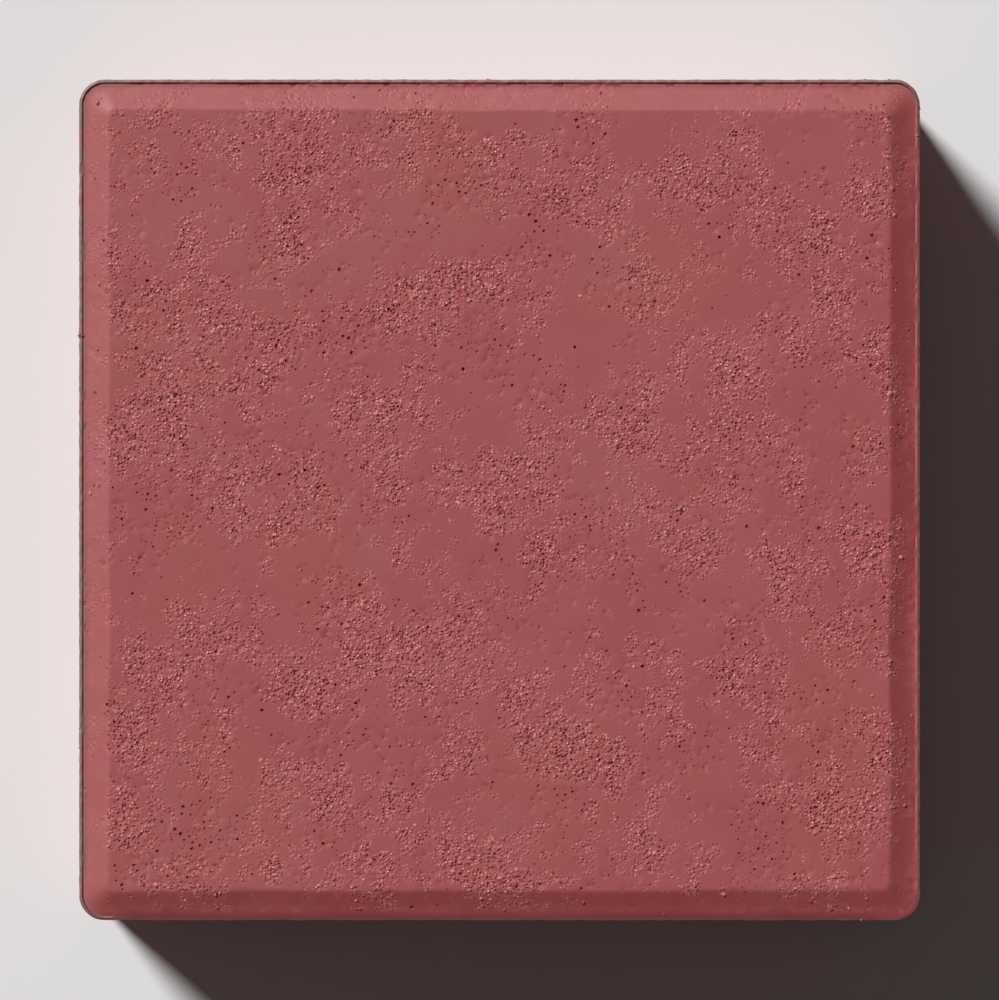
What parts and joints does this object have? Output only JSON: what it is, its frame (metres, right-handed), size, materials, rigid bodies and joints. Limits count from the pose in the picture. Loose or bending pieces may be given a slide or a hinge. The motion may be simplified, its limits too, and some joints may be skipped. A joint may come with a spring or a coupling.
{
  "type": "concrete paving stone",
  "caption": "Square red concrete paving stone with a chamfered wearing face, rounded corners and spacer ribs on its side walls.",
  "frame": {"origin": "middle of the underside", "axes": "+Z out of the wearing face; X and Y along the side walls"},
  "size_m": [0.2, 0.2, 0.06],
  "materials": {
    "concrete": "matt, fine sandy press-mould face, iron-oxide red all through"
  },
  "bodies": {
    "root": {"paving_stone": "concrete"}
  },
  "joints": []
}
